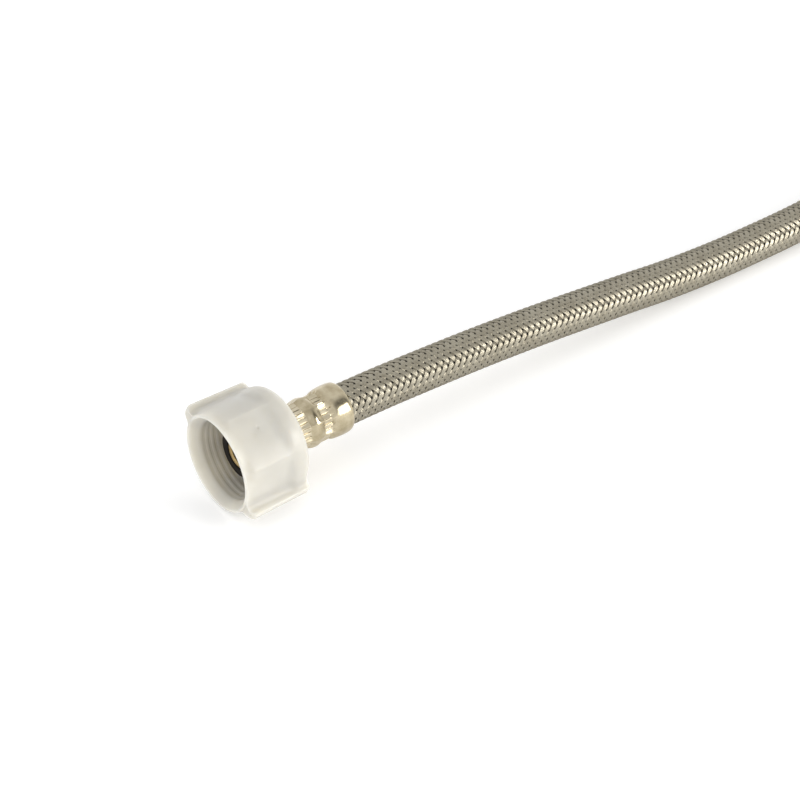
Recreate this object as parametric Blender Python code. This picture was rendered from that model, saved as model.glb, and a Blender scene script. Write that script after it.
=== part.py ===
"""Braided supply line: a toilet connector with a winged plastic coupling nut on one end, a hex
compression nut on the other, and a stainless braided hose crimped between them.

Every length below is in millimetres; MM turns it into Blender's metres.  The near fitting's axis
lies along +X at height AXIS_Z, its open mouth faces -X, and the surface the line lies on is Z = 0.
The origin is under the middle of the near fitting."""
import bmesh
import bpy
from math import acos, cos, degrees, pi, radians, sin, sqrt
from mathutils import Vector

MM = 0.001
GAP = 0.3                       # clearance between neighbouring pieces

# Whole line
OVERALL_LENGTH = 304.8          # 12 in, face to face
AXIS_Z = 15.5                   # near fitting's axis, its collar touching the surface
NEAR_LENGTH = 42.4              # from the nut's mouth to the end of its ferrule
MOUTH_X = -NEAR_LENGTH / 2      # so that the near fitting is centred on the origin

# Hose, outside to inside
BRAID_R = 6.35
BRAID_WALL = 0.65
YARN_R = 5.35
YARN_WALL = 0.3
LINER_R = 4.75
LINER_WALL = 1.25

# Ballcock nut, stations measured from its mouth
NUT_RIM_R = 14.65
NUT_HEX_CORNER_R = 15.4
NUT_HEX_FLAT_R = 14.15          # from the axis to the middle of a flat
NUT_HEX_TURN = 10.5             # first hex corner, degrees from straight up towards -Y
NUT_HEX_FROM = 1.6
NUT_HEX_TO = 16.5
NUT_COLLAR_R = 15.5
NUT_CORE_R = 13.9               # round core inside the flats
NUT_COLLAR_TO = 19.1
NUT_LENGTH = 21.7
NUT_MOUTH_R = 13.8
NUT_LEAD_IN = 2.5
NUT_THREAD_MINOR_R = 11.05      # 15/16-14 thread, crests
NUT_THREAD_MAJOR_R = 11.9
NUT_SEAT_X = 17.5
NUT_BACK_HOLE_R = 5.6
WING_TURN = 121.6               # near wing, degrees from straight up towards -Y
WING_TIP_R = 18.5               # at its mouth end, tapering to
WING_TIP_BACK_R = 18.1
WING_THICK = 3.0
WING_FROM = 0.4
WING_TO = 20.2

# Ballcock stem and cone washer, stations measured from the nut's mouth
STEM_NOSE_X = 7.1
STEM_NOSE_R = 4.4
STEM_BORE_R = 2.4
STEM_FLANGE_X = 15.2
STEM_FLANGE_R = 9.6
STEM_NECK_R = 5.2
BARB_R = 3.2
BARB_ROOT_R = 2.85
BARB_COUNT = 4
BARB_PITCH = 3.2
WASHER_NOSE_R = 7.3
WASHER_BASE_R = 10.4
WASHER_CONE_LENGTH = 5.0

# Crimped ferrule, stations measured from its fitting end: two crimped bands, each followed by a
# swelling, the wider one at the hose
FERRULE_WALL = 0.55
FERRULE_OUTLINE = [(0.0, 6.2), (0.7, 6.5), (2.2, 6.4), (3.7, 6.45), (4.9, 7.2), (6.2, 7.5),
                   (7.6, 7.2), (8.9, 6.55), (10.7, 6.55), (12.0, 7.25), (13.8, 7.65), (16.2, 7.75),
                   (18.2, 7.65), (18.9, 7.4), (19.1, 7.05)]
FERRULE_LENGTH = FERRULE_OUTLINE[-1][0]
FERRULE_HOLD_X = NEAR_LENGTH - FERRULE_LENGTH      # its fitting end, from the nut's mouth
HOSE_IN_FERRULE = 6.2           # how far the braid runs into a ferrule
LINER_IN_FERRULE = 17.6         # how far the liner runs into a ferrule

# Compression fitting, stations measured from its ferrule's fitting end
FLAT_TO_FLAT = 17.46            # 11/16 in hex
COMP_Z = FLAT_TO_FLAT / 2
COMP_NUT_FROM = 1.2
COMP_NUT_LENGTH = 15.0
COMP_THREAD_MINOR_R = 6.65      # 9/16-24 thread, crests
COMP_MOUTH_R = 7.15
COMP_SEAT_T = 3.4
COMP_BACK_HOLE_R = 4.7
COMP_NECK_R = 4.3
COMP_FLANGE_R = 6.2
COMP_FLANGE_WIDTH = 1.6
COMP_NOSE_R = 3.4
COMP_NOSE_LENGTH = 5.6
COMP_SEAL_BASE_R = 6.2
COMP_SEAL_TIP_R = 4.3

# Where the hose enters the far ferrule
FAR_X = MOUTH_X + OVERALL_LENGTH - FERRULE_LENGTH - COMP_NUT_FROM - COMP_NUT_LENGTH
FAR_Y = -5.0

# Hose centre line between the two ferrules' hose ends: straight out, down to the surface in one
# long bend, along it, and up a little into the compression fitting
ROUTE = [(NEAR_LENGTH / 2, 0.0, AXIS_Z), (36.0, 0.0, 15.15), (52.0, -0.15, 14.45),
         (68.0, -0.4, 13.7), (84.0, -0.75, 12.75), (100.0, -1.2, 11.6), (116.0, -1.75, 10.3),
         (132.0, -2.3, 8.95), (146.0, -2.9, 7.7), (160.0, -3.4, 6.85), (174.0, -3.9, 6.44),
         (188.0, -4.3, 6.4), (202.0, -4.6, 6.5), (216.0, -4.85, 7.05), (230.0, -4.95, 7.95),
         (FAR_X, FAR_Y, COMP_Z)]
CURVE_STEPS = 8                 # fine pieces of the curve between neighbouring route points
TUBE_PIECES = 14                # straight pieces of each tube, about 1.3 hose diameters long

ROUND_SIDES = 32
STEM_SIDES = 24
TUBE_RINGS = 3                  # bevel resolution of the hose's tubes


def clear_scene():
    for item in list(bpy.data.objects):
        bpy.data.objects.remove(item, do_unlink=True)


def material(name, colour, roughness, metallic=0.0):
    made = bpy.data.materials.new(name)
    made.use_nodes = True
    shader = made.node_tree.nodes["Principled BSDF"]
    shader.inputs["Base Color"].default_value = (*colour, 1.0)
    shader.inputs["Roughness"].default_value = roughness
    shader.inputs["Metallic"].default_value = metallic
    made.diffuse_color = (*colour, 1.0)
    return made


def add_object(name, mesh, finish, smooth=True):
    made = bpy.data.objects.new(name, mesh)
    bpy.context.scene.collection.objects.link(made)
    mesh.materials.append(finish)
    if smooth:
        mesh.shade_smooth()
        mesh.set_sharp_from_angle(angle=radians(35))
    return made


def to_mesh(name, bm):
    bmesh.ops.recalc_face_normals(bm, faces=bm.faces)
    mesh = bpy.data.meshes.new(name)
    bm.to_mesh(mesh)
    bm.free()
    return mesh


def turned_mesh(name, profile, sides=ROUND_SIDES):
    """The (x, radius) outline spun about the X axis.

    An outline that starts and ends on the axis gives a full solid, any other a ring."""
    bm = bmesh.new()
    points = [bm.verts.new((x * MM, 0.0, r * MM)) for x, r in profile]
    is_ring = profile[0][1] > 0.0
    ends = points[1:] + points[:1] if is_ring else points[1:]
    edges = [bm.edges.new((a, b)) for a, b in zip(points, ends)]
    bmesh.ops.spin(bm, geom=points + edges, cent=(0, 0, 0), axis=(1, 0, 0), angle=2 * pi,
                   steps=sides, use_merge=True)
    bmesh.ops.remove_doubles(bm, verts=bm.verts, dist=1e-7)
    return to_mesh(name, bm)


def prism_mesh(name, outline, x_from, x_to):
    """Solid between two X stations with the given (y, z) outline."""
    bm = bmesh.new()
    face = bm.faces.new([bm.verts.new((x_from * MM, y * MM, z * MM)) for y, z in outline])
    swept = bmesh.ops.extrude_face_region(bm, geom=[face])["geom"]
    corners = [item for item in swept if isinstance(item, bmesh.types.BMVert)]
    bmesh.ops.translate(bm, verts=corners, vec=((x_to - x_from) * MM, 0, 0))
    return to_mesh(name, bm)


def place(item, x, y, z):
    item.location = (x * MM, y * MM, z * MM)
    return item


def around(radius, degrees):
    """A (y, z) point at an angle from straight up towards -Y."""
    return (-radius * sin(radians(degrees)), radius * cos(radians(degrees)))


def hexagon(flat_radius, corner_radius, turn):
    """Hex outline whose corners are cut back to a circle, each as an arc of three points."""
    arc_half = 30 - degrees(acos(flat_radius / corner_radius))
    return [around(corner_radius, turn + 60 * k + step)
            for k in range(6) for step in (-arc_half, 0.0, arc_half)]


def add_boolean(target, other, operation):
    cut = target.modifiers.new(other.name, "BOOLEAN")
    cut.operation = operation
    cut.object = other
    cut.solver = "EXACT"
    other.hide_render = True
    other.display_type = "WIRE"


def rounded_corner(centre_x, centre_r, reach_x, reach_r, first, last, steps=3):
    """Points of a quarter ellipse in the (x, radius) plane, between two angles in degrees."""
    turns = [radians(first + (last - first) * k / steps) for k in range(steps + 1)]
    return [(centre_x + reach_x * cos(t), centre_r + reach_r * sin(t)) for t in turns]


def wing_outline():
    """(x, radius) side view of a wing: long rounding at the mouth end, short at the back."""
    inner = 12.6
    front = rounded_corner(WING_FROM + 2.4, WING_TIP_R - 3.2, 2.4, 3.2, 180, 90)
    back = rounded_corner(WING_TO - 1.6, WING_TIP_BACK_R - 1.6, 1.6, 1.6, 90, 0)
    return [(WING_FROM, inner)] + front + back + [(WING_TO, inner)]


def wing_mesh(name, turn):
    """One flat radial wing, as thick as WING_THICK, standing out from the nut's body."""
    bm = bmesh.new()
    out_y, out_z = around(1.0, turn)
    side = Vector((0.0, -out_z, out_y)) * WING_THICK * MM
    corners = []
    for x, reach in wing_outline():
        corners.append(bm.verts.new(Vector((x, out_y * reach, out_z * reach)) * MM - side / 2))
    face = bm.faces.new(corners)
    swept = bmesh.ops.extrude_face_region(bm, geom=[face])["geom"]
    moved = [item for item in swept if isinstance(item, bmesh.types.BMVert)]
    bmesh.ops.translate(bm, verts=moved, vec=side)
    return to_mesh(name, bm)


def ballcock_nut(finish):
    """Turned rim, collar and shoulder, a hexagon between them, two wings, one threaded bore."""
    body = [(0.0, 0.0), (0.0, NUT_RIM_R - 0.4), (0.4, NUT_RIM_R), (NUT_HEX_FROM, NUT_RIM_R),
            (NUT_HEX_FROM + 0.6, NUT_CORE_R), (NUT_HEX_TO, NUT_CORE_R), (NUT_HEX_TO, NUT_COLLAR_R - 0.2),
            (NUT_HEX_TO + 0.2, NUT_COLLAR_R), (NUT_COLLAR_TO, NUT_COLLAR_R),
            (NUT_COLLAR_TO + 1.1, NUT_COLLAR_R - 0.6), (NUT_COLLAR_TO + 2.0, NUT_COLLAR_R - 1.9),
            (NUT_LENGTH, NUT_COLLAR_R - 3.2), (NUT_LENGTH, 0.0)]
    nut = add_object("ballcock_nut", turned_mesh("ballcock_nut", body, 64), finish)
    place(nut, MOUTH_X, 0, AXIS_Z)
    flats = hexagon(NUT_HEX_FLAT_R, NUT_HEX_CORNER_R, NUT_HEX_TURN)
    hexed = add_object("nut_flats", prism_mesh("nut_flats", flats, NUT_HEX_FROM, NUT_HEX_TO + 0.5),
                       finish, smooth=False)
    bore = [(-1.0, 0.0), (-1.0, NUT_MOUTH_R), (0.15, NUT_MOUTH_R), (NUT_LEAD_IN, NUT_THREAD_MINOR_R),
            (NUT_SEAT_X - 1.6, NUT_THREAD_MINOR_R), (NUT_SEAT_X - 1.6, NUT_THREAD_MAJOR_R),
            (NUT_SEAT_X, NUT_THREAD_MAJOR_R), (NUT_SEAT_X, NUT_BACK_HOLE_R),
            (NUT_LENGTH + 1, NUT_BACK_HOLE_R), (NUT_LENGTH + 1, 0.0)]
    hole = add_object("nut_bore", turned_mesh("nut_bore", bore, 48), finish)
    wings = []
    for k in range(2):
        turn = WING_TURN + 180 * k
        wings.append(add_object(f"nut_wing_{k}", wing_mesh(f"nut_wing_{k}", turn), finish, False))
    for helper in (hexed, hole, *wings):
        place(helper, MOUTH_X, 0, AXIS_Z)
    for helper in (hexed, *wings):
        add_boolean(nut, helper, "UNION")
    add_boolean(nut, hole, "DIFFERENCE")
    return nut


def cone_washer(finish):
    base_x = STEM_FLANGE_X - GAP
    inner = STEM_NOSE_R + GAP
    profile = [(STEM_NOSE_X - 0.2, inner), (STEM_NOSE_X - 0.2, WASHER_NOSE_R - 0.4),
               (STEM_NOSE_X + 0.2, WASHER_NOSE_R),
               (STEM_NOSE_X + WASHER_CONE_LENGTH, WASHER_BASE_R - 0.1),
               (STEM_NOSE_X + WASHER_CONE_LENGTH + 0.4, WASHER_BASE_R),
               (base_x, WASHER_BASE_R), (base_x, inner)]
    washer = add_object("cone_washer", turned_mesh("cone_washer", profile), finish)
    return place(washer, MOUTH_X, 0, AXIS_Z)


def barb(start, direction):
    """Saw-tooth outer profile of a hose barb, from its root to its tip."""
    points = []
    for k in range(BARB_COUNT):
        tooth = start + direction * k * BARB_PITCH
        points += [(tooth, BARB_ROOT_R), (tooth, BARB_R)]
    points.append((start + direction * BARB_COUNT * BARB_PITCH, BARB_ROOT_R))
    return points


def ballcock_stem(finish):
    barb_from = FERRULE_HOLD_X + 1.6
    outer = [(STEM_NOSE_X, STEM_NOSE_R - 0.3), (STEM_NOSE_X + 0.3, STEM_NOSE_R),
             (STEM_FLANGE_X, STEM_NOSE_R), (STEM_FLANGE_X, STEM_FLANGE_R),
             (NUT_SEAT_X - GAP, STEM_FLANGE_R), (NUT_SEAT_X - GAP, STEM_NECK_R),
             (FERRULE_HOLD_X + 0.9, STEM_NECK_R), (FERRULE_HOLD_X + 0.9, BARB_R)]
    outer += barb(barb_from, 1)
    profile = [(STEM_NOSE_X, STEM_BORE_R)] + outer + [(outer[-1][0], STEM_BORE_R)]
    stem = add_object("ballcock_stem", turned_mesh("ballcock_stem", profile, STEM_SIDES), finish)
    return place(stem, MOUTH_X, 0, AXIS_Z)


def ferrule(name, direction, finish):
    """Crimped sleeve; its fitting end is at station 0 and direction is +1 or -1 along X.

    Inside it follows its outline, and its fitting end turns in to grip the stem."""
    outer = [(direction * s, r) for s, r in FERRULE_OUTLINE]
    lip_r = STEM_NECK_R + GAP
    inner = [(direction * s, r - FERRULE_WALL) for s, r in FERRULE_OUTLINE if s > 1.5]
    lip = [(direction * 1.5, FERRULE_OUTLINE[1][1] - FERRULE_WALL), (direction * 0.6, lip_r),
           (0.0, lip_r)]
    profile = outer + inner[::-1] + lip
    return add_object(name, turned_mesh(name, profile), finish)


def compression_nut(finish, start):
    """Hexagon with chamfered corners, threaded bore open towards +X."""
    end = COMP_NUT_FROM + COMP_NUT_LENGTH
    corner_r = FLAT_TO_FLAT / sqrt(3)
    outline = [around(corner_r, 30 + 60 * k) for k in range(6)]
    nut = add_object("compression_nut", prism_mesh("compression_nut", outline, COMP_NUT_FROM, end),
                     finish)
    place(nut, start, FAR_Y, COMP_Z)
    reach = corner_r + 0.6
    flat = FLAT_TO_FLAT / 2 - 0.25
    chamfer = [(COMP_NUT_FROM - 1, 0.0), (COMP_NUT_FROM - 1, flat), (COMP_NUT_FROM, flat),
               (COMP_NUT_FROM + 1.1, reach), (end - 1.1, reach), (end, flat), (end + 1, flat),
               (end + 1, 0.0)]
    trim = add_object("nut_chamfer", turned_mesh("nut_chamfer", chamfer, 36), finish)
    bore = [(COMP_NUT_FROM - 1, 0.0), (COMP_NUT_FROM - 1, COMP_BACK_HOLE_R),
            (COMP_SEAT_T, COMP_BACK_HOLE_R), (COMP_SEAT_T, COMP_THREAD_MINOR_R),
            (end - 0.7, COMP_THREAD_MINOR_R), (end + 0.1, COMP_MOUTH_R), (end + 1, COMP_MOUTH_R),
            (end + 1, 0.0)]
    hole = add_object("compression_bore", turned_mesh("compression_bore", bore, 36), finish)
    for helper in (trim, hole):
        place(helper, start, FAR_Y, COMP_Z)
    add_boolean(nut, trim, "INTERSECT")
    add_boolean(nut, hole, "DIFFERENCE")
    return nut


def compression_stem(finish, start):
    flange = COMP_SEAT_T + GAP
    nose = flange + COMP_FLANGE_WIDTH
    tip = nose + COMP_NOSE_LENGTH
    outer = [(tip, COMP_NOSE_R - 0.3), (tip - 0.3, COMP_NOSE_R), (nose, COMP_NOSE_R),
             (nose, COMP_FLANGE_R), (flange, COMP_FLANGE_R), (flange, COMP_NECK_R),
             (-0.9, COMP_NECK_R), (-0.9, BARB_R)]
    outer += barb(-1.6, -1)
    profile = [(tip, STEM_BORE_R)] + outer + [(outer[-1][0], STEM_BORE_R)]
    stem = add_object("compression_stem", turned_mesh("compression_stem", profile, STEM_SIDES), finish)
    return place(stem, start, FAR_Y, COMP_Z)


def compression_seal(finish, start):
    base = COMP_SEAT_T + GAP + COMP_FLANGE_WIDTH + GAP
    tip = base + COMP_NOSE_LENGTH - 0.2
    inner = COMP_NOSE_R + GAP
    profile = [(base, inner), (base, COMP_SEAL_BASE_R), (base + 1.6, COMP_SEAL_BASE_R),
               (tip - 0.3, COMP_SEAL_TIP_R), (tip, COMP_SEAL_TIP_R - 0.2), (tip, inner)]
    seal = add_object("compression_seal", turned_mesh("compression_seal", profile, STEM_SIDES), finish)
    return place(seal, start, FAR_Y, COMP_Z)


def smooth_route(points):
    """Catmull-Rom curve through the points, as closely spaced points."""
    path = [Vector(p) for p in points]
    ghosts = [path[0] * 2 - path[1]] + path + [path[-1] * 2 - path[-2]]
    laid = []
    for a, b, c, d in zip(ghosts, ghosts[1:], ghosts[2:], ghosts[3:]):
        for k in range(CURVE_STEPS):
            t = k / CURVE_STEPS
            laid.append(0.5 * (2 * b + (c - a) * t + (2 * a - 5 * b + 4 * c - d) * t ** 2
                               + (3 * b - a - 3 * c + d) * t ** 3))
    laid.append(path[-1])
    return laid


def spaced_out(path, pieces):
    """Points of the path at even distances along it, both ends included."""
    lengths = [(b - a).length for a, b in zip(path, path[1:])]
    stride = sum(lengths) / pieces
    kept = [path[0]]
    travelled = 0.0
    for a, b, length in zip(path, path[1:], lengths):
        while travelled + length >= stride * len(kept) and len(kept) < pieces:
            kept.append(a.lerp(b, (stride * len(kept) - travelled) / length))
        travelled += length
    return kept + [path[-1]]


def hose_layer(name, path, radius, wall, finish):
    """Hollow tube along the path: an open bevelled curve with a wall put inside it."""
    curve = bpy.data.curves.new(name, "CURVE")
    curve.dimensions = "3D"
    curve.bevel_depth = radius * MM
    curve.bevel_resolution = TUBE_RINGS
    curve.render_resolution_u = 0
    curve.twist_mode = "Z_UP"
    spline = curve.splines.new("POLY")
    spline.points.add(len(path) - 1)
    for point, spot in zip(spline.points, path):
        point.co = (*(spot * MM), 1.0)
    curve.materials.append(finish)
    tube = bpy.data.objects.new(name, curve)
    bpy.context.scene.collection.objects.link(tube)
    skin = tube.modifiers.new("wall", "SOLIDIFY")
    skin.thickness = wall * MM
    skin.offset = -1.0
    skin.use_even_offset = True
    return tube


def main():
    clear_scene()
    plastic = material("milky_plastic", (0.88, 0.87, 0.83), 0.35)
    black_rubber = material("black_rubber", (0.02, 0.02, 0.02), 0.6)
    brass = material("brass", (0.78, 0.60, 0.32), 0.3, 1.0)
    nickel = material("nickel_plate", (0.70, 0.66, 0.56), 0.25, 1.0)
    steel = material("braid_steel", (0.62, 0.60, 0.56), 0.35, 1.0)
    yarn = material("white_yarn", (0.85, 0.85, 0.82), 0.8)
    vinyl = material("grey_vinyl", (0.45, 0.46, 0.47), 0.5)

    ballcock_nut(plastic)
    cone_washer(black_rubber)
    ballcock_stem(brass)
    place(ferrule("ballcock_ferrule", 1, nickel), MOUTH_X + FERRULE_HOLD_X, 0, AXIS_Z)

    route = [Vector(p) for p in ROUTE]
    hold_x = route[-1].x + FERRULE_LENGTH
    place(ferrule("compression_ferrule", -1, nickel), hold_x, FAR_Y, COMP_Z)
    compression_stem(brass, hold_x)
    compression_seal(black_rubber, hold_x)
    compression_nut(nickel, hold_x)

    out = Vector((1.0, 0.0, 0.0))
    free = spaced_out(smooth_route(ROUTE), TUBE_PIECES)
    short = [free[0] - out * HOSE_IN_FERRULE] + free + [free[-1] + out * HOSE_IN_FERRULE]
    full = [free[0] - out * LINER_IN_FERRULE] + free + [free[-1] + out * LINER_IN_FERRULE]
    hose_layer("steel_braid", short, BRAID_R, BRAID_WALL, steel)
    hose_layer("yarn_layer", short, YARN_R, YARN_WALL, yarn)
    hose_layer("inner_tube", full, LINER_R, LINER_WALL, vinyl)


main()
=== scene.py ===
"""Looks of the braided supply line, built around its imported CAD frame.

Stations on the near fitting are in mm from the winged nut's mouth along its axis; stations on the far
fitting are in mm from its ferrule's fitting end. Angles go round from straight up towards -Y.
"""

from math import atan, cos, pi, radians, sin

import bpy
import numpy as np
from mathutils import Matrix, Vector


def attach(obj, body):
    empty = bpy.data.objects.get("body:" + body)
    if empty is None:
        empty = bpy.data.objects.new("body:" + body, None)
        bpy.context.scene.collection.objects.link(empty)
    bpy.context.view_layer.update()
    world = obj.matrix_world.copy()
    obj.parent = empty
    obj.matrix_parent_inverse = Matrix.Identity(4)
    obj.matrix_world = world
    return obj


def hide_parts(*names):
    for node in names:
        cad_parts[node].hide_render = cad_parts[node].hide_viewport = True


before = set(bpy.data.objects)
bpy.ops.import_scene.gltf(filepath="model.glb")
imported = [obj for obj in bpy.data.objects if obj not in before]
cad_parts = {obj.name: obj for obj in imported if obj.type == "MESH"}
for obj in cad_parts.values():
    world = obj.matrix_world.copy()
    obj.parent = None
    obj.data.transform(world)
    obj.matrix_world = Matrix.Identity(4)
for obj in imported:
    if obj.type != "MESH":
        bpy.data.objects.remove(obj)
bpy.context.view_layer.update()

MM = 0.001

# ---------------------------------------------------------------- sizes, in mm
MOUTH_X = -21.2                   # winged nut's mouth
AXIS_Z = 15.5                     # near fitting's axis
NEAR_FERRULE_S = 23.3             # from the mouth to the start of the near ferrule
FAR_X, FAR_Y = 248.3, -5.0        # hose end of the far ferrule
FERRULE_LENGTH = 19.1
COMP_Z = 8.73                     # far fitting's axis
BRAID_MID_R = 6.05
WEAVE_LIFT = 0.17
WEAVE_STEEPNESS, WEAVE_FULL = 3.7, 2.6
STRAND_WIDTH = 1.26
STRAND_THICK = 0.2
STRAND_CROWN = 0.1                # how far a strand's edges lie below its middle
WIRES = 5
WIRE_CREST = 0.55                 # height of a wire's crest, of its width
CARRIERS = 12                     # each way round
STEPS_PER_CROSSING = 6
BRAID_LEAD = 28.0                 # along the hose for one turn
BRAID_TURN = 2.2                  # first row of crossings, degrees from straight up
CORE_R = 5.6
HOSE_TUCK = 4.0                   # how far the hose runs on into each ferrule

# The hose's centreline, as in part.py
ROUTE = [(21.2, 0.0, 15.5), (36.0, 0.0, 15.15), (52.0, -0.15, 14.45), (68.0, -0.4, 13.7),
         (84.0, -0.75, 12.75), (100.0, -1.2, 11.6), (116.0, -1.75, 10.3), (132.0, -2.3, 8.95),
         (146.0, -2.9, 7.7), (160.0, -3.4, 6.85), (174.0, -3.9, 6.44), (188.0, -4.3, 6.4),
         (202.0, -4.6, 6.5), (216.0, -4.85, 7.05), (230.0, -4.95, 7.95), (248.3, -5.0, 8.73)]


# ---------------------------------------------------------------- camera
CAMERA_AZIMUTH, CAMERA_ELEVATION = -38.4, 37.12
CAMERA_AIM, CAMERA_DISTANCE = (0.0250, -0.0230, 0.0296), 0.540
CAMERA_LENS = 88.65


def make_camera():
    azimuth, elevation = radians(CAMERA_AZIMUTH), radians(CAMERA_ELEVATION)
    back = Vector((sin(azimuth) * cos(elevation), -cos(azimuth) * cos(elevation), sin(elevation)))
    right = Vector((cos(azimuth), sin(azimuth), 0.0))
    data = bpy.data.cameras.new("camera")
    data.lens, data.sensor_width = CAMERA_LENS, 36.0
    data.clip_start, data.clip_end = 0.01, 20.0
    camera = bpy.data.objects.new("camera", data)
    turn = Matrix((right, back.cross(right), back)).transposed().to_4x4()
    place = Vector(CAMERA_AIM) + CAMERA_DISTANCE * back
    camera.matrix_world = Matrix.Translation(place) @ turn
    bpy.context.scene.collection.objects.link(camera)
    bpy.context.scene.camera = camera


# ---------------------------------------------------------------- mesh helpers
def add_mesh(name, points, faces, smooth_angle=35.0, material=None, body="hose"):
    """A mesh object from points in mm; edges sharper than the angle stay crisp."""
    mesh = bpy.data.meshes.new(name)
    mesh.from_pydata((np.asarray(points, float) * MM).tolist(), [], faces)
    mesh.validate()
    mesh.update()
    mesh.shade_smooth()
    mesh.set_sharp_from_angle(angle=radians(smooth_angle))
    obj = bpy.data.objects.new(name, mesh)
    bpy.context.scene.collection.objects.link(obj)
    if material is not None:
        mesh.materials.append(material)
    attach(obj, body)
    return obj


def grid_faces(rows, columns, wrap_rows, wrap_columns, offset=0):
    """Quads of a grid of points stored row by row."""
    faces = []
    for i in range(rows if wrap_rows else rows - 1):
        k = (i + 1) % rows
        for j in range(columns if wrap_columns else columns - 1):
            m = (j + 1) % columns
            faces.append((offset + i * columns + j, offset + i * columns + m,
                          offset + k * columns + m, offset + k * columns + j))
    return faces


def round_solid(name, stations, radii, angles, origin, direction=1.0, **options):
    """Closed ring-shaped solid. stations and radii are (profile points, angles) arrays or 1-D."""
    angles = np.asarray(angles, float)
    stations, radii = np.asarray(stations, float), np.asarray(radii, float)
    if stations.ndim == 1:
        stations = np.repeat(stations[:, None], len(angles), axis=1)
    if radii.ndim == 1:
        radii = np.repeat(radii[:, None], len(angles), axis=1)
    a = np.radians(angles)[None, :]
    points = np.stack([origin[0] + direction * stations,
                       origin[1] - radii * np.sin(a),
                       origin[2] + radii * np.cos(a)], axis=-1)
    rows, columns = stations.shape
    faces = grid_faces(rows, columns, True, True)
    if direction < 0:
        faces = [f[::-1] for f in faces]
    return add_mesh(name, points.reshape(-1, 3), faces, **options)


def even_angles(count):
    return np.arange(count) * 360.0 / count


def smooth_step(low, high, x):
    t = np.clip((np.asarray(x, float) - low) / (high - low), 0.0, 1.0)
    return t * t * (3.0 - 2.0 * t)


def soft_min(a, b, k):
    h = np.clip(0.5 + 0.5 * (b - a) / k, 0.0, 1.0)
    return b + (a - b) * h - k * h * (1.0 - h)


def angle_from(angles, centre):
    """Signed difference in degrees, wrapped to within half a turn."""
    return (np.asarray(angles, float) - centre + 180.0) % 360.0 - 180.0


def catmull_rom(points, per_span):
    p = np.array([2 * np.array(points[0]) - points[1], *points,
                  2 * np.array(points[-1]) - points[-2]], float)
    out = []
    for k in range(1, len(p) - 2):
        for u in np.arange(per_span) / per_span:
            out.append(0.5 * (2 * p[k] + (p[k + 1] - p[k - 1]) * u
                              + (2 * p[k - 1] - 5 * p[k] + 4 * p[k + 1] - p[k + 2]) * u * u
                              + (3 * p[k] - p[k - 1] - 3 * p[k + 1] + p[k + 2]) * u ** 3))
    out.append(p[-2])
    return np.array(out)


# ---------------------------------------------------------------- materials
def new_material(name):
    mat = bpy.data.materials.new(name)
    mat.use_nodes = True
    return mat, mat.node_tree, mat.node_tree.nodes["Principled BSDF"]


def add_node(tree, kind, **values):
    node = tree.nodes.new(kind)
    for key, value in values.items():
        if key in node.inputs:
            node.inputs[key].default_value = value
        else:
            setattr(node, key, value)
    return node


def noise(tree, scale, detail=3.0, roughness=0.5, stretch=None):
    coordinates = add_node(tree, "ShaderNodeTexCoord")
    node = add_node(tree, "ShaderNodeTexNoise", Scale=scale, Detail=detail, Roughness=roughness)
    if stretch is None:
        tree.links.new(coordinates.outputs["Object"], node.inputs["Vector"])
    else:
        mapping = add_node(tree, "ShaderNodeMapping", Scale=stretch)
        tree.links.new(coordinates.outputs["Object"], mapping.inputs["Vector"])
        tree.links.new(mapping.outputs["Vector"], node.inputs["Vector"])
    return node.outputs["Fac"]


def ramp(tree, fac, stops):
    """Colour ramp from (position, colour or grey) stops."""
    node = tree.nodes.new("ShaderNodeValToRGB")
    while len(node.color_ramp.elements) < len(stops):
        node.color_ramp.elements.new(0.5)
    for element, (position, colour) in zip(node.color_ramp.elements, stops):
        element.position = position
        grey = isinstance(colour, (int, float))
        element.color = (colour, colour, colour, 1.0) if grey else (*colour, 1.0)
    tree.links.new(fac, node.inputs["Fac"])
    return node.outputs["Color"]


def bump(tree, shader, height, strength, distance):
    node = add_node(tree, "ShaderNodeBump", Strength=strength, Distance=distance)
    tree.links.new(height, node.inputs["Height"])
    tree.links.new(node.outputs["Normal"], shader.inputs["Normal"])


def plated(name, dark, light, rough_low, rough_high, grain_scale, bump_strength=0.15):
    """Bright plated metal with faint cloudiness and polishing marks."""
    mat, tree, shader = new_material(name)
    shader.inputs["Metallic"].default_value = 1.0
    cloud = noise(tree, 260.0, 4.0, 0.6)
    tree.links.new(ramp(tree, cloud, [(0.35, dark), (0.65, light)]), shader.inputs["Base Color"])
    fine = noise(tree, grain_scale, 3.0, 0.6)
    tree.links.new(ramp(tree, fine, [(0.3, rough_low), (0.7, rough_high)]),
                   shader.inputs["Roughness"])
    bump(tree, shader, fine, bump_strength, 0.00004)
    return mat


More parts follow.
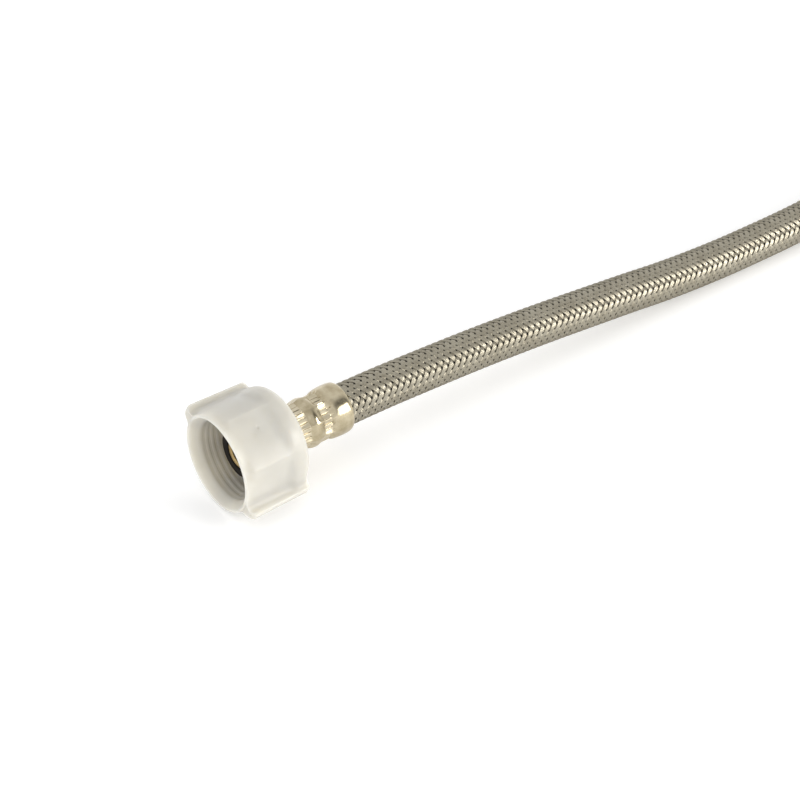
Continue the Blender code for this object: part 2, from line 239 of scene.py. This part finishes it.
def make_materials():
    mats = {}

    mat, tree, shader = new_material("milky_plastic_look")
    cloud = noise(tree, 90.0, 3.0, 0.5)
    tree.links.new(ramp(tree, cloud, [(0.3, (0.525, 0.51, 0.465)), (0.7, (0.575, 0.56, 0.515))]),
                   shader.inputs["Base Color"])
    fine = noise(tree, 900.0, 3.0, 0.6)
    tree.links.new(ramp(tree, fine, [(0.3, 0.34), (0.7, 0.44)]), shader.inputs["Roughness"])
    bump(tree, shader, fine, 0.12, 0.00005)
    shader.inputs["Subsurface Weight"].default_value = 1.0
    shader.inputs["Subsurface Radius"].default_value = (1.0, 0.93, 0.79)
    shader.inputs["Subsurface Scale"].default_value = 0.006
    shader.inputs["IOR"].default_value = 1.5
    mats["plastic"] = mat

    mat, tree, shader = new_material("black_rubber_look")
    mottle = noise(tree, 500.0, 4.0, 0.6)
    tree.links.new(ramp(tree, mottle, [(0.3, (0.007, 0.0055, 0.0045)),
                                       (0.7, (0.016, 0.0125, 0.0095))]),
                   shader.inputs["Base Color"])
    tree.links.new(ramp(tree, mottle, [(0.3, 0.6), (0.7, 0.75)]), shader.inputs["Roughness"])
    shader.inputs["Specular IOR Level"].default_value = 0.12
    bump(tree, shader, mottle, 0.2, 0.00005)
    mats["rubber"] = mat

    mats["brass"] = plated("stem_brass_look", (0.31, 0.215, 0.09), (0.45, 0.33, 0.15),
                           0.24, 0.38, 1500.0)
    mats["nickel"] = plated("nickel_plate_look", (0.385, 0.325, 0.21), (0.55, 0.485, 0.345),
                            0.13, 0.24, 1100.0)
    # A lighter, rougher copy of the nickel for the crimp tooth marks: the lighter colour is a painted
    # highlight standing in for their bright reflection.
    mats["pressed_nickel"] = plated("pressed_nickel_look", (0.50, 0.44, 0.31), (0.62, 0.555, 0.42),
                                    0.34, 0.46, 1100.0)
    mats["nut_nickel"] = plated("nut_nickel_look", (0.55, 0.52, 0.45), (0.62, 0.59, 0.52),
                                0.16, 0.28, 900.0)
    mats["braid"] = plated("braid_steel_look", (0.345, 0.315, 0.247), (0.415, 0.385, 0.31),
                           0.24, 0.34, 2500.0, 0.05)

    # The core under the braid is coloured near black: painted shade for the shadow in the gaps between
    # the strands, not the yarn's own colour.
    mat, tree, shader = new_material("core_painted_shade_look")
    weave = noise(tree, 1200.0, 3.0, 0.6)
    tree.links.new(ramp(tree, weave, [(0.3, (0.03, 0.027, 0.023)), (0.7, (0.07, 0.063, 0.055))]),
                   shader.inputs["Base Color"])
    shader.inputs["Roughness"].default_value = 0.85
    bump(tree, shader, weave, 0.4, 0.0001)
    mats["yarn"] = mat

    mat, tree, shader = new_material("vinyl_look")
    cloud = noise(tree, 300.0, 3.0, 0.5)
    tree.links.new(ramp(tree, cloud, [(0.3, (0.20, 0.20, 0.205)), (0.7, (0.26, 0.26, 0.265))]),
                   shader.inputs["Base Color"])
    shader.inputs["Roughness"].default_value = 0.45
    bump(tree, shader, cloud, 0.1, 0.00005)
    mats["vinyl"] = mat

    mat, tree, shader = new_material("floor_look")
    speck = noise(tree, 40.0, 2.0, 0.5)
    tree.links.new(ramp(tree, speck, [(0.3, (0.90, 0.90, 0.90)), (0.7, (0.92, 0.92, 0.92))]),
                   shader.inputs["Base Color"])
    shader.inputs["Roughness"].default_value = 0.9
    shader.inputs["Specular IOR Level"].default_value = 0.1
    shader.inputs["Emission Color"].default_value = (1.0, 1.0, 1.0, 1.0)
    shader.inputs["Emission Strength"].default_value = 0.22
    mats["floor"] = mat
    return mats


# ---------------------------------------------------------------- the hose
class HosePath:
    """The centreline, resampled by length, with a steady frame round it."""

    def __init__(self, route):
        fine = catmull_rom(route, 40)
        gaps = np.linalg.norm(np.diff(fine, axis=0), axis=1)
        self.run = np.concatenate([[0.0], np.cumsum(gaps)])
        self.points = fine
        self.length = self.run[-1]

    def at(self, s):
        """Centres, upward normals and sideways (towards -Y) normals at lengths s."""
        def centre(t):
            t = np.asarray(t, float)
            inside = np.clip(t, 0.0, self.length)
            p = np.stack([np.interp(inside, self.run, self.points[:, k]) for k in range(3)], -1)
            start = self.points[1] - self.points[0]
            end = self.points[-1] - self.points[-2]
            before = np.minimum(t, 0.0)[..., None] * (start / np.linalg.norm(start))
            after = np.maximum(t - self.length, 0.0)[..., None] * (end / np.linalg.norm(end))
            return p + before + after
        c = centre(s)
        tangent = centre(np.asarray(s) + 0.6) - centre(np.asarray(s) - 0.6)
        tangent /= np.linalg.norm(tangent, axis=-1, keepdims=True)
        side = np.array([0.0, -1.0, 0.0]) - tangent * -tangent[..., 1:2]
        side /= np.linalg.norm(side, axis=-1, keepdims=True)
        up = np.cross(tangent, -side)
        return c, up, side


def weave_height(row):
    """+1 where a strand runs over the ones that cross it, -1 where it runs under; two and two."""
    return np.tanh(WEAVE_STEEPNESS * np.cos(pi / 2 * (row - 0.5))) / np.tanh(WEAVE_FULL)


def strand_mesh(path, index, sense, s_from, s_to):
    """Points and faces of one strand: a flat band of wires on a helix, over and under in turn."""
    turn_rate = 2 * pi / BRAID_LEAD * sense
    pitch = 2 * pi / CARRIERS
    lean = atan(2 * pi * BRAID_MID_R / BRAID_LEAD)
    crossings = (s_to - s_from) / BRAID_LEAD * 2 * CARRIERS
    steps = int(crossings * STEPS_PER_CROSSING) + 1
    s = np.linspace(s_from, s_to, steps)
    half = STRAND_WIDTH / 2
    wire = STRAND_WIDTH / WIRES
    across, lift = [], []
    for k in range(WIRES):
        across += [-half + k * wire, -half + (k + 0.5) * wire]
        lift += [0.0, WIRE_CREST * wire]
    across.append(half)
    lift.append(0.0)
    across += [half * 0.92, -half * 0.92]
    lift += [-STRAND_THICK, -STRAND_THICK]
    across, lift = np.array(across), np.array(lift)
    lift -= STRAND_CROWN * (across / half) ** 2
    theta0 = radians(BRAID_TURN) + pitch * index + turn_rate * (s - s_from)
    along = s[:, None] - sense * across[None, :] * sin(lean)
    theta = theta0[:, None] + across[None, :] * cos(lean) / BRAID_MID_R
    other = (theta - radians(BRAID_TURN) + turn_rate * (along - s_from)) / pitch
    level = WEAVE_LIFT * weave_height(other + index + (2 if sense > 0 else 0))
    centres, ups, sides = path.at(along)
    radius = (BRAID_MID_R + level + lift[None, :])[..., None]
    points = centres + radius * (np.cos(theta)[..., None] * ups + np.sin(theta)[..., None] * sides)
    rows, columns = theta.shape
    faces = grid_faces(rows, columns, False, True)
    faces.append(tuple(range(columns))[::-1])
    faces.append(tuple((rows - 1) * columns + k for k in range(columns)))
    return points.reshape(-1, 3), faces


def round_wires(mesh):
    """Shade each wire as round: smooth along its crest, creased where it meets the next one."""
    columns = 2 * WIRES + 3
    ends = np.empty(len(mesh.edges) * 2, int)
    mesh.edges.foreach_get("vertices", ends)
    first, second = ends.reshape(-1, 2).T
    lengthways = np.abs(first - second) == columns
    crest = lengthways & (first % columns < 2 * WIRES) & (first % columns % 2 == 1)
    sharp = np.empty(len(mesh.edges), bool)
    layer = mesh.attributes["sharp_edge"]
    layer.data.foreach_get("value", sharp)
    layer.data.foreach_set("value", (sharp | lengthways) & ~crest)


def make_hose(mats):
    path = HosePath(ROUTE)
    s_from, s_to = -HOSE_TUCK, path.length + HOSE_TUCK
    ring = np.radians(even_angles(40))
    stations = np.linspace(s_from, s_to, 120)
    centres, ups, sides = path.at(stations)
    core = centres[:, None] + CORE_R * (np.cos(ring)[None, :, None] * ups[:, None]
                                        + np.sin(ring)[None, :, None] * sides[:, None])
    faces = grid_faces(len(stations), len(ring), False, True)
    faces.append(tuple(range(len(ring)))[::-1])
    faces.append(tuple((len(stations) - 1) * len(ring) + k for k in range(len(ring))))
    # The core's near-black colour is painted shade for the gaps between the strands.
    core_piece = add_mesh("braid_core", core.reshape(-1, 3), faces, material=mats["yarn"])
    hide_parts("yarn_layer")

    pieces = []
    groups = [(1.0, range(0, 6)), (1.0, range(6, 12)), (-1.0, range(0, 6)), (-1.0, range(6, 12))]
    for number, (sense, members) in enumerate(groups):
        points, faces = [], []
        for index in members:
            p, f = strand_mesh(path, index, sense, s_from + 1.0, s_to - 1.0)
            start = sum(len(q) for q in points)
            points.append(p)
            faces += [tuple(v + start for v in face) for face in f]
        piece = add_mesh(f"braid_strands_{number + 1}", np.concatenate(points), faces,
                         smooth_angle=30.0, material=mats["braid"])
        round_wires(piece.data)
        pieces.append(piece)
    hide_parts("steel_braid")
    return path, core_piece, pieces


make_camera()
MATS = make_materials()
hose_path, braid_core, braid_pieces = make_hose(MATS)


# ---------------------------------------------------------------- fittings
def rounded(profile, radius, steps=3):
    """The closed profile with each corner replaced by a small arc-like curve."""
    p = np.array(profile, float)
    out = []
    for k in range(len(p)):
        before, here, after = p[k - 1], p[k], p[(k + 1) % len(p)]
        a, b = before - here, after - here
        la, lb = np.linalg.norm(a), np.linalg.norm(b)
        reach = min(radius, 0.45 * la, 0.45 * lb)
        p0, p1 = here + a / la * reach, here + b / lb * reach
        for t in np.linspace(0.0, 1.0, steps + 1):
            out.append((1 - t) ** 2 * p0 + 2 * t * (1 - t) * here + t * t * p1)
    return np.array(out)


def lathe(name, profile, count, origin, radius=0.15, **options):
    shape = rounded(profile, radius)
    return round_solid(name, shape[:, 0], shape[:, 1], even_angles(count), origin, **options)


NEAR = (MOUTH_X, 0.0, AXIS_Z)
FAR = (FAR_X + FERRULE_LENGTH, FAR_Y, COMP_Z)

# ---------------------------------------------------------------- winged nut
NUT_LENGTH = 21.7
NUT_RIM_R = 14.65
HEX_FLAT_R, HEX_CORNER_R, HEX_TURN = 14.5, 15.5, 10.5
HEX_CORNER_ROUND = 0.7            # degrees
HEX_RISE, COLLAR_RISE = (0.8, 3.6), (14.2, 17.2)
COLLAR_R = 15.5
GATE_X, GATE_ANGLE = 9.7, 29.5     # moulding mark on one flat
GATE_R, GATE_DEPTH = 0.5, 0.22
WING_ANGLES = (121.6, 301.6)
WING_HALF = 1.5
WING_EDGE_R, WING_FILLET = 0.6, 2.6
WING_FRONT_LENGTH, WING_FRONT_DROP, WING_BACK_ROUND = 2.0, 2.4, 0.9
LIP_R, LIP_DROP = 0.6, 0.45
BACK_FROM, BACK_DROP = 18.4, 2.6   # rounded edge behind the collar
WING_FROM, WING_TO = 0.4, 20.2
WING_TIP_R, WING_BACK_R = 18.5, 18.1
THREAD_PITCH = 25.4 / 14
THREAD_MINOR_R, THREAD_MAJOR_R = 11.82, 11.95   # shallow, as faint as it shows through the plastic
MOUTH_R, MOUTH_SLOPE, SEAT_X, BACK_HOLE_R = 13.9, 0.75, 17.5, 5.6


def nut_body_radius(x, angles):
    """Outside of the nut without its wings: rim, six shallow flats, collar, rounded back."""
    from_corner = 30.0 - np.abs((angles - HEX_TURN) % 60.0 - 30.0)
    from_corner = np.hypot(from_corner, HEX_CORNER_ROUND)
    hexed = HEX_FLAT_R + (HEX_CORNER_R - HEX_FLAT_R) * ((30.0 - from_corner) / 30.0) ** 2
    r = NUT_RIM_R + (hexed - NUT_RIM_R) * smooth_step(*HEX_RISE, x)
    r = r + (COLLAR_R - r) * smooth_step(*COLLAR_RISE, x)
    gate = ((x - GATE_X) ** 2 + (np.radians(angle_from(angles, GATE_ANGLE)) * r) ** 2) / GATE_R ** 2
    r = r - GATE_DEPTH * np.exp(-gate)
    lip = np.clip((LIP_R - x) / LIP_R, 0.0, 1.0)
    r = r - LIP_DROP * (1.0 - np.sqrt(1.0 - lip ** 2))
    back = np.clip((x - BACK_FROM) / (NUT_LENGTH - BACK_FROM), 0.0, 0.999)
    return r - BACK_DROP * (1.0 - np.sqrt(1.0 - back ** 2))


def wing_tip_radius(x):
    line = WING_TIP_R + (WING_BACK_R - WING_TIP_R) * (x - WING_FROM) / (WING_TO - WING_FROM)
    front = np.clip((WING_FROM + WING_FRONT_LENGTH - x) / WING_FRONT_LENGTH, 0.0, 1.0)
    back = np.clip((x - WING_TO + WING_BACK_ROUND) / WING_BACK_ROUND, 0.0, 1.0)
    tip = (line - WING_FRONT_DROP * (1.0 - np.sqrt(1.0 - front ** 2))
           - WING_BACK_ROUND * (1.0 - np.sqrt(1.0 - back ** 2)))
    return np.where((x < WING_FROM) | (x > WING_TO), 0.0, tip)


def nut_outer_radius(x, angles):
    """Outermost surface along each ray from the axis, wings blended in with a fillet."""
    body = nut_body_radius(x, angles)
    tip = wing_tip_radius(x)

    def outside(r):
        gap = r - body
        for centre in WING_ANGLES:
            turn = np.radians(angle_from(angles, centre))
            y, z = r * np.sin(turn), r * np.cos(turn)
            qy, qz = np.abs(y) - (WING_HALF - WING_EDGE_R), z - (tip - WING_EDGE_R)
            d = (np.hypot(np.maximum(qy, 0), np.maximum(qz, 0))
                 + np.minimum(np.maximum(qy, qz), 0) - WING_EDGE_R)
            d = np.where(z > 5.0, d, 9.0)
            gap = soft_min(gap, d, WING_FILLET)
        return gap
    low = np.full(np.broadcast(x, angles).shape, 12.0)
    high = np.full_like(low, 12.0)
    found = np.zeros(low.shape, bool)
    for r in np.arange(19.4, 11.8, -0.1):
        inside = outside(np.full_like(low, r)) < 0
        low = np.where(inside & ~found, r, low)
        high = np.where(inside & ~found, r + 0.1, high)
        found |= inside
    for _ in range(18):
        middle = (low + high) / 2
        inside = outside(middle) < 0
        low, high = np.where(inside, middle, low), np.where(inside, high, middle)
    return low


def thread_radius(x, angles, pitch, minor, major):
    phase = (x / pitch - angles / 360.0) % 1.0
    middle, depth = (minor + major) / 2, (major - minor) / 2
    return middle - depth * np.tanh(1.9 * np.cos(2 * pi * phase)) / np.tanh(1.9)


def nut_angles():
    """Angles round the nut, closer together across the wings' sides and the corners."""
    base = list(np.arange(0.0, 360.0, 2.5))
    for centre in WING_ANGLES:
        for side in (-1, 1):
            base += [centre + side * v for v in np.arange(2.8, 9.4, 0.3)]
        base += [centre + v for v in (-1.8, 0.0, 1.8)]
    for k in range(6):
        corner = HEX_TURN + 60.0 * k
        base += [corner + v for v in (-2.0, -1.5, -1.0, -0.6, -0.3, 0.3, 0.6, 1.0, 1.5, 2.0)]
    base += [GATE_ANGLE + v for v in np.arange(-3.2, 3.3, 0.8)]
    values = sorted(v % 360.0 for v in base)
    kept = [values[0]]
    for v in values[1:]:
        if v - kept[-1] > 0.22:
            kept.append(v)
    return np.array(kept)


def make_winged_nut(mats):
    angles = nut_angles()
    outer_x = np.array([0.02, 0.1, 0.2, 0.32, 0.42, 0.48, 0.6, 0.8, 1.05, 1.35, 1.7, 2.1, 2.5, 2.9,
                        3.4, 4.0, 5.0, 6.5, 8.0, 8.9, 9.2, 9.45, 9.7, 9.95, 10.2, 10.5, 11.5,
                        12.7, 14.0, 15.2, 15.8, 16.1, 16.25, 16.4, 16.55, 16.7, 16.85,
                        17.3, 17.9, 18.4, 18.8, 19.1, 19.4, 19.65,
                        19.85, 20.0, 20.1, 20.17, 20.2, 20.23, 20.5, 20.8, 21.1, 21.35, 21.5,
                        21.6, 21.66, 21.69])
    inner_x = np.arange(16.6, 0.2, -THREAD_PITCH / 14)
    outer = nut_outer_radius(outer_x[:, None], angles[None, :])
    bore = thread_radius(inner_x[:, None], angles[None, :], THREAD_PITCH,
                         THREAD_MINOR_R, THREAD_MAJOR_R)
    fade = (smooth_step(1.5, 6.0, inner_x) * (1 - smooth_step(15.2, 16.2, inner_x)))[:, None]
    bore = THREAD_MAJOR_R + (bore - THREAD_MAJOR_R) * fade
    cone = (MOUTH_R - MOUTH_SLOPE * inner_x)[:, None]
    bore = -soft_min(-bore, -cone, 0.35)

    def ring(x, r):
        return np.full((1, len(angles)), x), np.full((1, len(angles)), r)
    parts = [(np.repeat(outer_x[:, None], len(angles), 1), outer)]
    back_r = np.linspace(12.7, BACK_HOLE_R + 0.25, 5)
    parts += [ring(NUT_LENGTH, r) for r in back_r]
    parts += [ring(NUT_LENGTH - 0.07, BACK_HOLE_R + 0.07), ring(NUT_LENGTH - 0.25, BACK_HOLE_R),
              ring(SEAT_X + 0.2, BACK_HOLE_R), ring(SEAT_X, BACK_HOLE_R + 0.2),
              ring(SEAT_X, 8.5), ring(SEAT_X, THREAD_MAJOR_R - 0.3),
              ring(SEAT_X - 0.1, THREAD_MAJOR_R - 0.08), ring(SEAT_X - 0.35, THREAD_MAJOR_R)]
    parts.append((np.repeat(inner_x[:, None], len(angles), 1), bore))
    parts += [ring(0.12, MOUTH_R - 0.06), ring(0.04, MOUTH_R + 0.02), ring(0.0, MOUTH_R + 0.12),
              ring(0.0, NUT_RIM_R - 0.62)]
    stations = np.concatenate([p[0] for p in parts])
    radii = np.concatenate([p[1] for p in parts])
    nut = round_solid("winged_nut", stations, radii, angles, NEAR, material=mats["plastic"],
                      body="wing_nut", smooth_angle=50.0)
    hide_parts("ballcock_nut")
    return nut


# ---------------------------------------------------------------- washer, stem, seal
STEM_BORE_R = 2.4


def saw_teeth(start, direction, count=4, pitch=3.2, root=2.85, crest=3.2):
    points = []
    for k in range(count):
        tooth = start + direction * k * pitch
        points += [(tooth, root), (tooth, crest)]
    points.append((start + direction * count * pitch, root))
    return points


def make_near_insides(mats):
    washer = lathe("washer", [(6.9, 4.7), (6.9, 7.1), (12.1, 10.4), (14.9, 10.4), (14.9, 4.7)],
                   96, NEAR, 0.45, material=mats["rubber"])
    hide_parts("cone_washer")
    profile = [(12.0, STEM_BORE_R), (12.0, 3.1), (7.4, 3.1), (7.1, 3.4), (7.1, 4.4), (15.2, 4.4),
               (15.2, 9.6), (17.2, 9.6), (17.2, 5.2), (24.2, 5.2), (24.2, 3.2)] + saw_teeth(24.9, 1)
    profile.append((profile[-1][0], STEM_BORE_R))
    stem = lathe("stem", profile, 72, NEAR, 0.22, material=mats["brass"])
    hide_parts("ballcock_stem")


def make_far_insides(mats):
    profile = [(10.9, STEM_BORE_R), (10.9, 3.4), (5.3, 3.4), (5.3, 6.2), (3.7, 6.2), (3.7, 4.3),
               (-0.9, 4.3), (-0.9, 3.2)] + saw_teeth(-1.6, -1)
    profile.append((profile[-1][0], STEM_BORE_R))
    stem = lathe("far_stem", profile[::-1], 72, FAR, 0.22, material=mats["brass"])
    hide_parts("compression_stem")
    seal = lathe("far_seal", [(5.6, 3.7), (5.6, 6.2), (7.2, 6.2), (11.0, 4.2), (11.0, 3.7)],
                 72, FAR, 0.3, material=mats["rubber"])
    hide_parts("compression_seal")


# ---------------------------------------------------------------- crimped ferrules
FERRULE_OUTLINE = [(0.0, 6.2), (0.7, 6.5), (2.0, 6.4), (4.3, 6.42), (5.2, 6.8), (6.1, 7.25),
                   (7.0, 7.42), (7.9, 7.25), (8.8, 6.8), (9.6, 6.5), (11.6, 6.5), (12.3, 6.95),
                   (13.4, 7.5), (15.0, 7.72), (17.2, 7.74), (18.4, 7.6), (18.95, 7.35), (19.1, 7.05)]
JAWS = 9
JAW_TURN = 22.0                   # first gap between two jaws
TEETH = 3                         # marks across each jaw
BANDS = ((1.7, 4.8), (9.3, 12.0))
BAND_FADE = 0.25
TOOTH_EDGE_LIFT = 0.04            # makes each tooth mark flatter than the sleeve
GROOVE_DEPTH, GROOVE_HALF, TOOTH_WIDTH = 0.2, 0.12, 1.5
BRIGHT_HALF = 0.4                 # part of a tooth mark painted lighter as a painted highlight, either side of its middle
PIT_S, PIT_DEPTH, PIT_SPREAD = 12.2, 0.5, 0.22
PIT_TURN = -3.0                   # from the gap between two jaws
FERRULE_COLUMNS = 405


def tile_at(angles):
    """Place across the nearest jaw tooth mark, -0.5 to 0.5."""
    return ((angles - JAW_TURN) / (360.0 / (JAWS * TEETH))) % 1.0 - 0.5


def ferrule_radius(s, angles):
    """Outside of the crimped sleeve: two pressed bands, shallower where two jaws met."""
    knots = np.array(FERRULE_OUTLINE)
    fine = catmull_rom(np.column_stack([knots, np.zeros(len(knots))]), 8)
    pressed = np.interp(s, fine[:, 0], fine[:, 1])
    full = np.interp(s, [0, 0.7, 4, 8, 14, 17.5, 18.6, 19.1],
                     [6.2, 6.6, 7.5, 7.6, 7.7, 7.72, 7.5, 7.05])
    seam = (0.5 + 0.5 * np.cos(np.radians((angles - JAW_TURN) * JAWS))) ** 4
    radius = pressed + np.maximum(full - pressed, 0.0) * 0.5 * seam
    tile = tile_at(angles)
    gap = (0.5 - np.abs(tile)) * TOOTH_WIDTH
    ridge = TOOTH_EDGE_LIFT * (2 * tile) ** 2 - GROOVE_DEPTH * np.exp(-(gap / GROOVE_HALF) ** 2)
    band = sum(smooth_step(a, a + BAND_FADE, s) * (1 - smooth_step(b - BAND_FADE, b, s))
               for a, b in BANDS)
    radius = radius + band * ridge
    for centre in np.arange(JAWS * 2) * 180.0 / JAWS + JAW_TURN + PIT_TURN:
        apart = np.radians(angle_from(angles, centre)) * 7.0
        radius = radius - PIT_DEPTH * np.exp(-((s - PIT_S) ** 2 + apart ** 2) / PIT_SPREAD)
    return radius


def make_ferrule(name, node, origin, direction, mats, bore_r):
    angles = even_angles(FERRULE_COLUMNS)
    s = np.concatenate([[0.0, 0.05, 0.15], np.arange(0.3, 18.3, 0.2),
                        [18.4, 18.55, 18.7, 18.82, 18.92, 19.0, 19.05]])
    outer = ferrule_radius(s[:, None], angles[None, :])
    outer[0] -= 0.12
    inner_s = np.array([19.05, 18.9, 18.0, 16.0, 13.0, 11.5, 10.0, 9.0, 8.0, 6.5, 5.0, 4.0, 2.5, 1.2])
    inner = np.full((len(inner_s), len(angles)), 5.85)
    inner[:5] = np.array([6.62, 6.5, 6.48, 6.46, 6.46])[:, None]
    lip_s = np.array([0.9, 0.6, 0.1, 0.0])
    lip = np.repeat(np.array([bore_r + 0.15, bore_r, bore_r, bore_r + 0.1])[:, None],
                    len(angles), 1)
    stations = np.concatenate([s, inner_s, lip_s])
    radii = np.concatenate([outer, inner, lip])
    piece = round_solid(name, stations, radii, angles, origin, direction, material=mats["nickel"],
                        smooth_angle=40.0)
    # Tooth-mark faces in the crimp bands get the lighter nickel: a painted highlight.
    piece.data.materials.append(mats["pressed_nickel"])
    middle_s = np.repeat((stations[:len(s) - 1] + stations[1:len(s)]) / 2, len(angles))
    in_band = sum((middle_s > a + 0.1) & (middle_s < b - 0.1) for a, b in BANDS) > 0
    middle_angles = angles + 0.5 * (angles[1] - angles[0])
    on_tile = np.tile(np.abs(tile_at(middle_angles)) < BRIGHT_HALF, len(s) - 1)
    slots = np.zeros(len(piece.data.polygons), int)
    slots[:len(in_band)] = in_band & on_tile
    piece.data.polygons.foreach_set("material_index", slots)
    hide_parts(node)
    return piece


# ---------------------------------------------------------------- compression nut
def make_hex_nut(mats):
    flat_r, start, end = 17.46 / 2, 1.2, 16.2
    angles = even_angles(240)
    off = np.radians((angles + 30.0) % 60.0 - 30.0)
    hexed = soft_min(flat_r / np.cos(off), flat_r / cos(pi / 6) - 0.12, 0.15)
    outer_x = np.concatenate([[start + 0.02, start + 0.12], np.arange(start + 0.25, start + 2.2, 0.2),
                              np.arange(start + 2.6, end - 2.2, 0.8),
                              np.arange(end - 2.1, end - 0.2, 0.2), [end - 0.12, end - 0.02]])
    edge = np.minimum(outer_x - start, end - outer_x)
    dome = flat_r - 0.45 + 2.2 * np.sqrt(np.clip(1 - (1 - np.clip(edge / 2.6, 0, 1)) ** 2, 0, 1))
    outer = soft_min(hexed[None, :], dome[:, None], 0.12)
    pitch = 25.4 / 24
    inner_x = np.arange(end - 0.35, 4.0, -pitch / 10)
    bore = thread_radius(inner_x[:, None], angles[None, :], pitch, 6.65, 7.1)
    bore = np.maximum(bore, (7.35 - (end - inner_x) * 0.9)[:, None])

    def ring(x, r):
        return np.full((1, len(angles)), x), np.full((1, len(angles)), r)
    parts = [(np.repeat(outer_x[:, None], len(angles), 1), outer)]
    parts += [ring(end, flat_r - 0.6), ring(end, 7.45), ring(end - 0.06, 7.36)]
    parts.append((np.repeat(inner_x[:, None], len(angles), 1), bore))
    parts += [ring(3.6, 7.0), ring(3.4, 6.7), ring(3.4, 4.9), ring(3.2, 4.7), ring(start + 0.2, 4.7),
              ring(start, 4.9), ring(start, flat_r - 0.6)]
    stations = np.concatenate([p[0] for p in parts])
    radii = np.concatenate([p[1] for p in parts])
    nut = round_solid("hex_nut_body", stations, radii, angles, FAR, material=mats["nut_nickel"],
                      body="hex_nut", smooth_angle=38.0)
    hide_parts("compression_nut")
    return nut


make_winged_nut(MATS)
make_near_insides(MATS)
make_ferrule("near_ferrule", "ballcock_ferrule", (MOUTH_X + NEAR_FERRULE_S, 0.0, AXIS_Z), 1.0, MATS, 5.5)
make_hex_nut(MATS)
make_far_insides(MATS)
make_ferrule("far_ferrule", "compression_ferrule", FAR, -1.0, MATS, 5.5)


# ---------------------------------------------------------------- stage
def area_light(name, place, target, size, power, colour=(1.0, 1.0, 1.0)):
    data = bpy.data.lights.new(name, "AREA")
    data.shape, data.size, data.size_y = "RECTANGLE", size[0], size[1]
    data.energy, data.color = power, colour
    light = bpy.data.objects.new(name, data)
    light.location = place
    light.rotation_euler = (Vector(target) - Vector(place)).to_track_quat("-Z", "Y").to_euler()
    bpy.context.scene.collection.objects.link(light)


def make_stage(mats):
    mesh = bpy.data.meshes.new("floor")
    edge = 3.0
    mesh.from_pydata([(-edge, -edge, 0), (edge, -edge, 0), (edge, edge, 0), (-edge, edge, 0)], [],
                     [(0, 1, 2, 3)])
    mesh.materials.append(mats["floor"])
    floor = bpy.data.objects.new("floor", mesh)
    bpy.context.scene.collection.objects.link(floor)
    area_light("softbox", (0.48, -0.72, 0.345), (0.05, 0, 0.01), (0.33, 0.41), 4.7, (1.0, 0.985, 0.95))
    world = bpy.data.worlds.new("world")
    world.use_nodes = True
    tree = world.node_tree
    place = add_node(tree, "ShaderNodeTexCoord")
    facing = add_node(tree, "ShaderNodeVectorMath", operation="DOT_PRODUCT")
    facing.inputs[1].default_value = Vector((0.48, -0.62, 0.62)).normalized()
    tree.links.new(place.outputs["Generated"], facing.inputs[0])
    dark_spot = ramp(tree, facing.outputs["Value"],
                     [(0.0, 1.0), (0.78, 1.0), (0.9, 0.7), (0.955, 0.25), (1.0, 0.2)])
    height = add_node(tree, "ShaderNodeSeparateXYZ")
    tree.links.new(place.outputs["Generated"], height.inputs[0])
    sweep = ramp(tree, height.outputs["Z"], [(0.0, 1.0), (0.3, 0.75), (1.0, 0.7)])
    shade = add_node(tree, "ShaderNodeMath", operation="MULTIPLY")
    tree.links.new(dark_spot, shade.inputs[0])
    tree.links.new(sweep, shade.inputs[1])
    tree.links.new(shade.outputs[0], tree.nodes["Background"].inputs["Color"])
    tree.nodes["Background"].inputs["Strength"].default_value = 1.38
    bpy.context.scene.world = world
    bpy.context.scene.view_settings.view_transform = "Standard"


make_stage(MATS)
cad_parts["inner_tube"].data.materials[0] = MATS["vinyl"]
